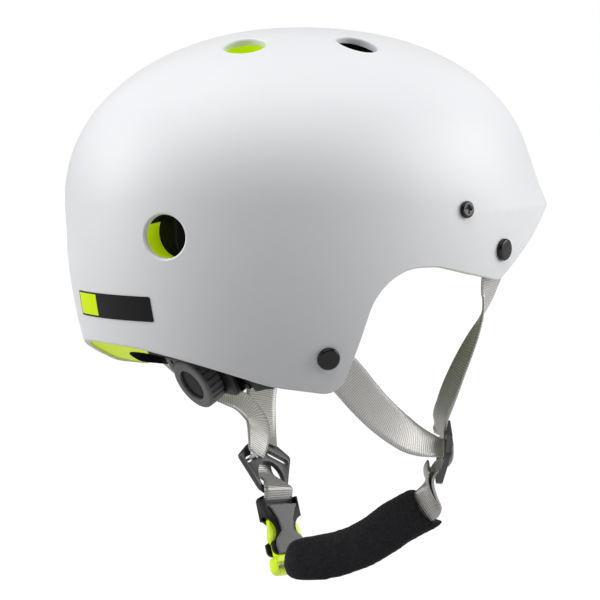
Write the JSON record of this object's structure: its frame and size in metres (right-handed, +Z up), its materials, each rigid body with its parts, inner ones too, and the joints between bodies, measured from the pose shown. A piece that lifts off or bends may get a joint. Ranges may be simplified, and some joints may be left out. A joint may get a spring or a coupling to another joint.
{
  "type": "water sports helmet",
  "caption": "Hard-shell water sports helmet with ear arches, vents, foam liner, dial-tightened rear cradle and a buckled chin strap with a padded chin piece.",
  "frame": {"origin": "on the plane of symmetry, at the underside of the crown pad, where the top of the wearer's head sits (mount head_fit)", "axes": "+Z up, -Y the way the wearer looks, +X the wearer's left, -X the wearer's right"},
  "size_m": [0.222, 0.2862, 0.3134],
  "materials": {
    "white_shell": "satin moulded ABS",
    "neon_foam": null,
    "pad_fabric": "black brushed fabric over soft foam",
    "label_film": "printed film, neon and black, blank",
    "black_gloss": "glossy black moulded cap and painted screw head",
    "steel": "zinc plated",
    "black_nylon": "matt black nylon",
    "grey_rubber": "grained mid-grey rubber",
    "pale_grey_plastic": "grained mid-grey acetal",
    "neon_plastic": "satin neon yellow",
    "grey_plastic": "dark grey acetal",
    "black_acetal": "satin black acetal",
    "webbing": "ribbed silver-grey polyester webbing"
  },
  "bodies": {
    "helmet": {"outer_shell": "white_shell", "foam_liner": "neon_foam", "crown_pad": "pad_fabric", "brow_pad": "pad_fabric", "rear_pad": "pad_fabric", "side_pad_left": "pad_fabric", "side_pad_right": "pad_fabric", "rear_label": "label_film", "strap_rivet_caps": "black_gloss", "strap_rivet_backs": "steel", "temple_screws": "black_gloss", "temple_posts": "black_nylon", "strap_divider_right": "grey_plastic", "strap_divider_left": "grey_plastic", "rear_strap_right": "webbing", "front_strap_right": "webbing", "rear_strap_left": "webbing", "front_strap_left": "webbing", "buckle_strap": "webbing", "buckle_body": "black_acetal", "buckle_cover_plate": "pale_grey_plastic", "chin_strap_right": "webbing"},
    "cradle_left": {"cradle_arm_left": "black_nylon"},
    "cradle_right": {"cradle_arm_right": "black_nylon"},
    "dial_housing": {"dial_housing_base": "black_nylon", "dial_housing_cover": "black_nylon"},
    "dial": {"dial_pinion": "black_nylon", "dial_knob": "grey_rubber", "dial_cap": "black_nylon"},
    "chin": {"buckle_male": "neon_plastic", "chin_strap_left": "webbing", "chin_pad": "pad_fabric"},
    "prong_front": {"release_prong_front": "neon_plastic"},
    "prong_rear": {"release_prong_rear": "neon_plastic"}
  },
  "joints": [
    {"name": "housing_slide", "type": "slide", "parent": "helmet", "child": "dial_housing", "axis": [0, -1, 0], "range_m": [0, 0.0061]},
    {"name": "dial_turn", "type": "hinge", "parent": "dial_housing", "child": "dial", "pos_m": [0, 0.062, -0.1552], "axis": [0, -0.866, 0.5], "range_deg": [0, 90]},
    {"name": "arm_left_swing", "type": "hinge", "parent": "helmet", "child": "cradle_left", "pos_m": [0.0835, -0.026, -0.0662], "axis": [0, 0, 1], "range_deg": [0, 4.2]},
    {"name": "arm_right_swing", "type": "hinge", "parent": "helmet", "child": "cradle_right", "pos_m": [-0.0835, -0.026, -0.0662], "axis": [0, 0, 1], "range_deg": [-4.2, 0]},
    {"name": "buckle_pull", "type": "slide", "parent": "helmet", "child": "chin", "axis": [-0.4104, 0.0446, -0.9108], "range_m": [0, 0.03]},
    {"name": "release_prong_front_press", "type": "slide", "parent": "chin", "child": "prong_front", "axis": [0.0183, 0.999, 0.0407], "range_m": [0, 0.002], "stiffness_N_per_m": 1200},
    {"name": "release_prong_rear_press", "type": "slide", "parent": "chin", "child": "prong_rear", "axis": [-0.0183, -0.999, -0.0407], "range_m": [0, 0.002], "stiffness_N_per_m": 1200}
  ],
  "couplings": [
    {"joint": "arm_left_swing", "follows": "dial_turn", "ratio": 0.045455},
    {"joint": "arm_right_swing", "follows": "dial_turn", "ratio": -0.045455},
    {"joint": "housing_slide", "follows": "dial_turn", "m_per_rad": 0.0037955}
  ]
}
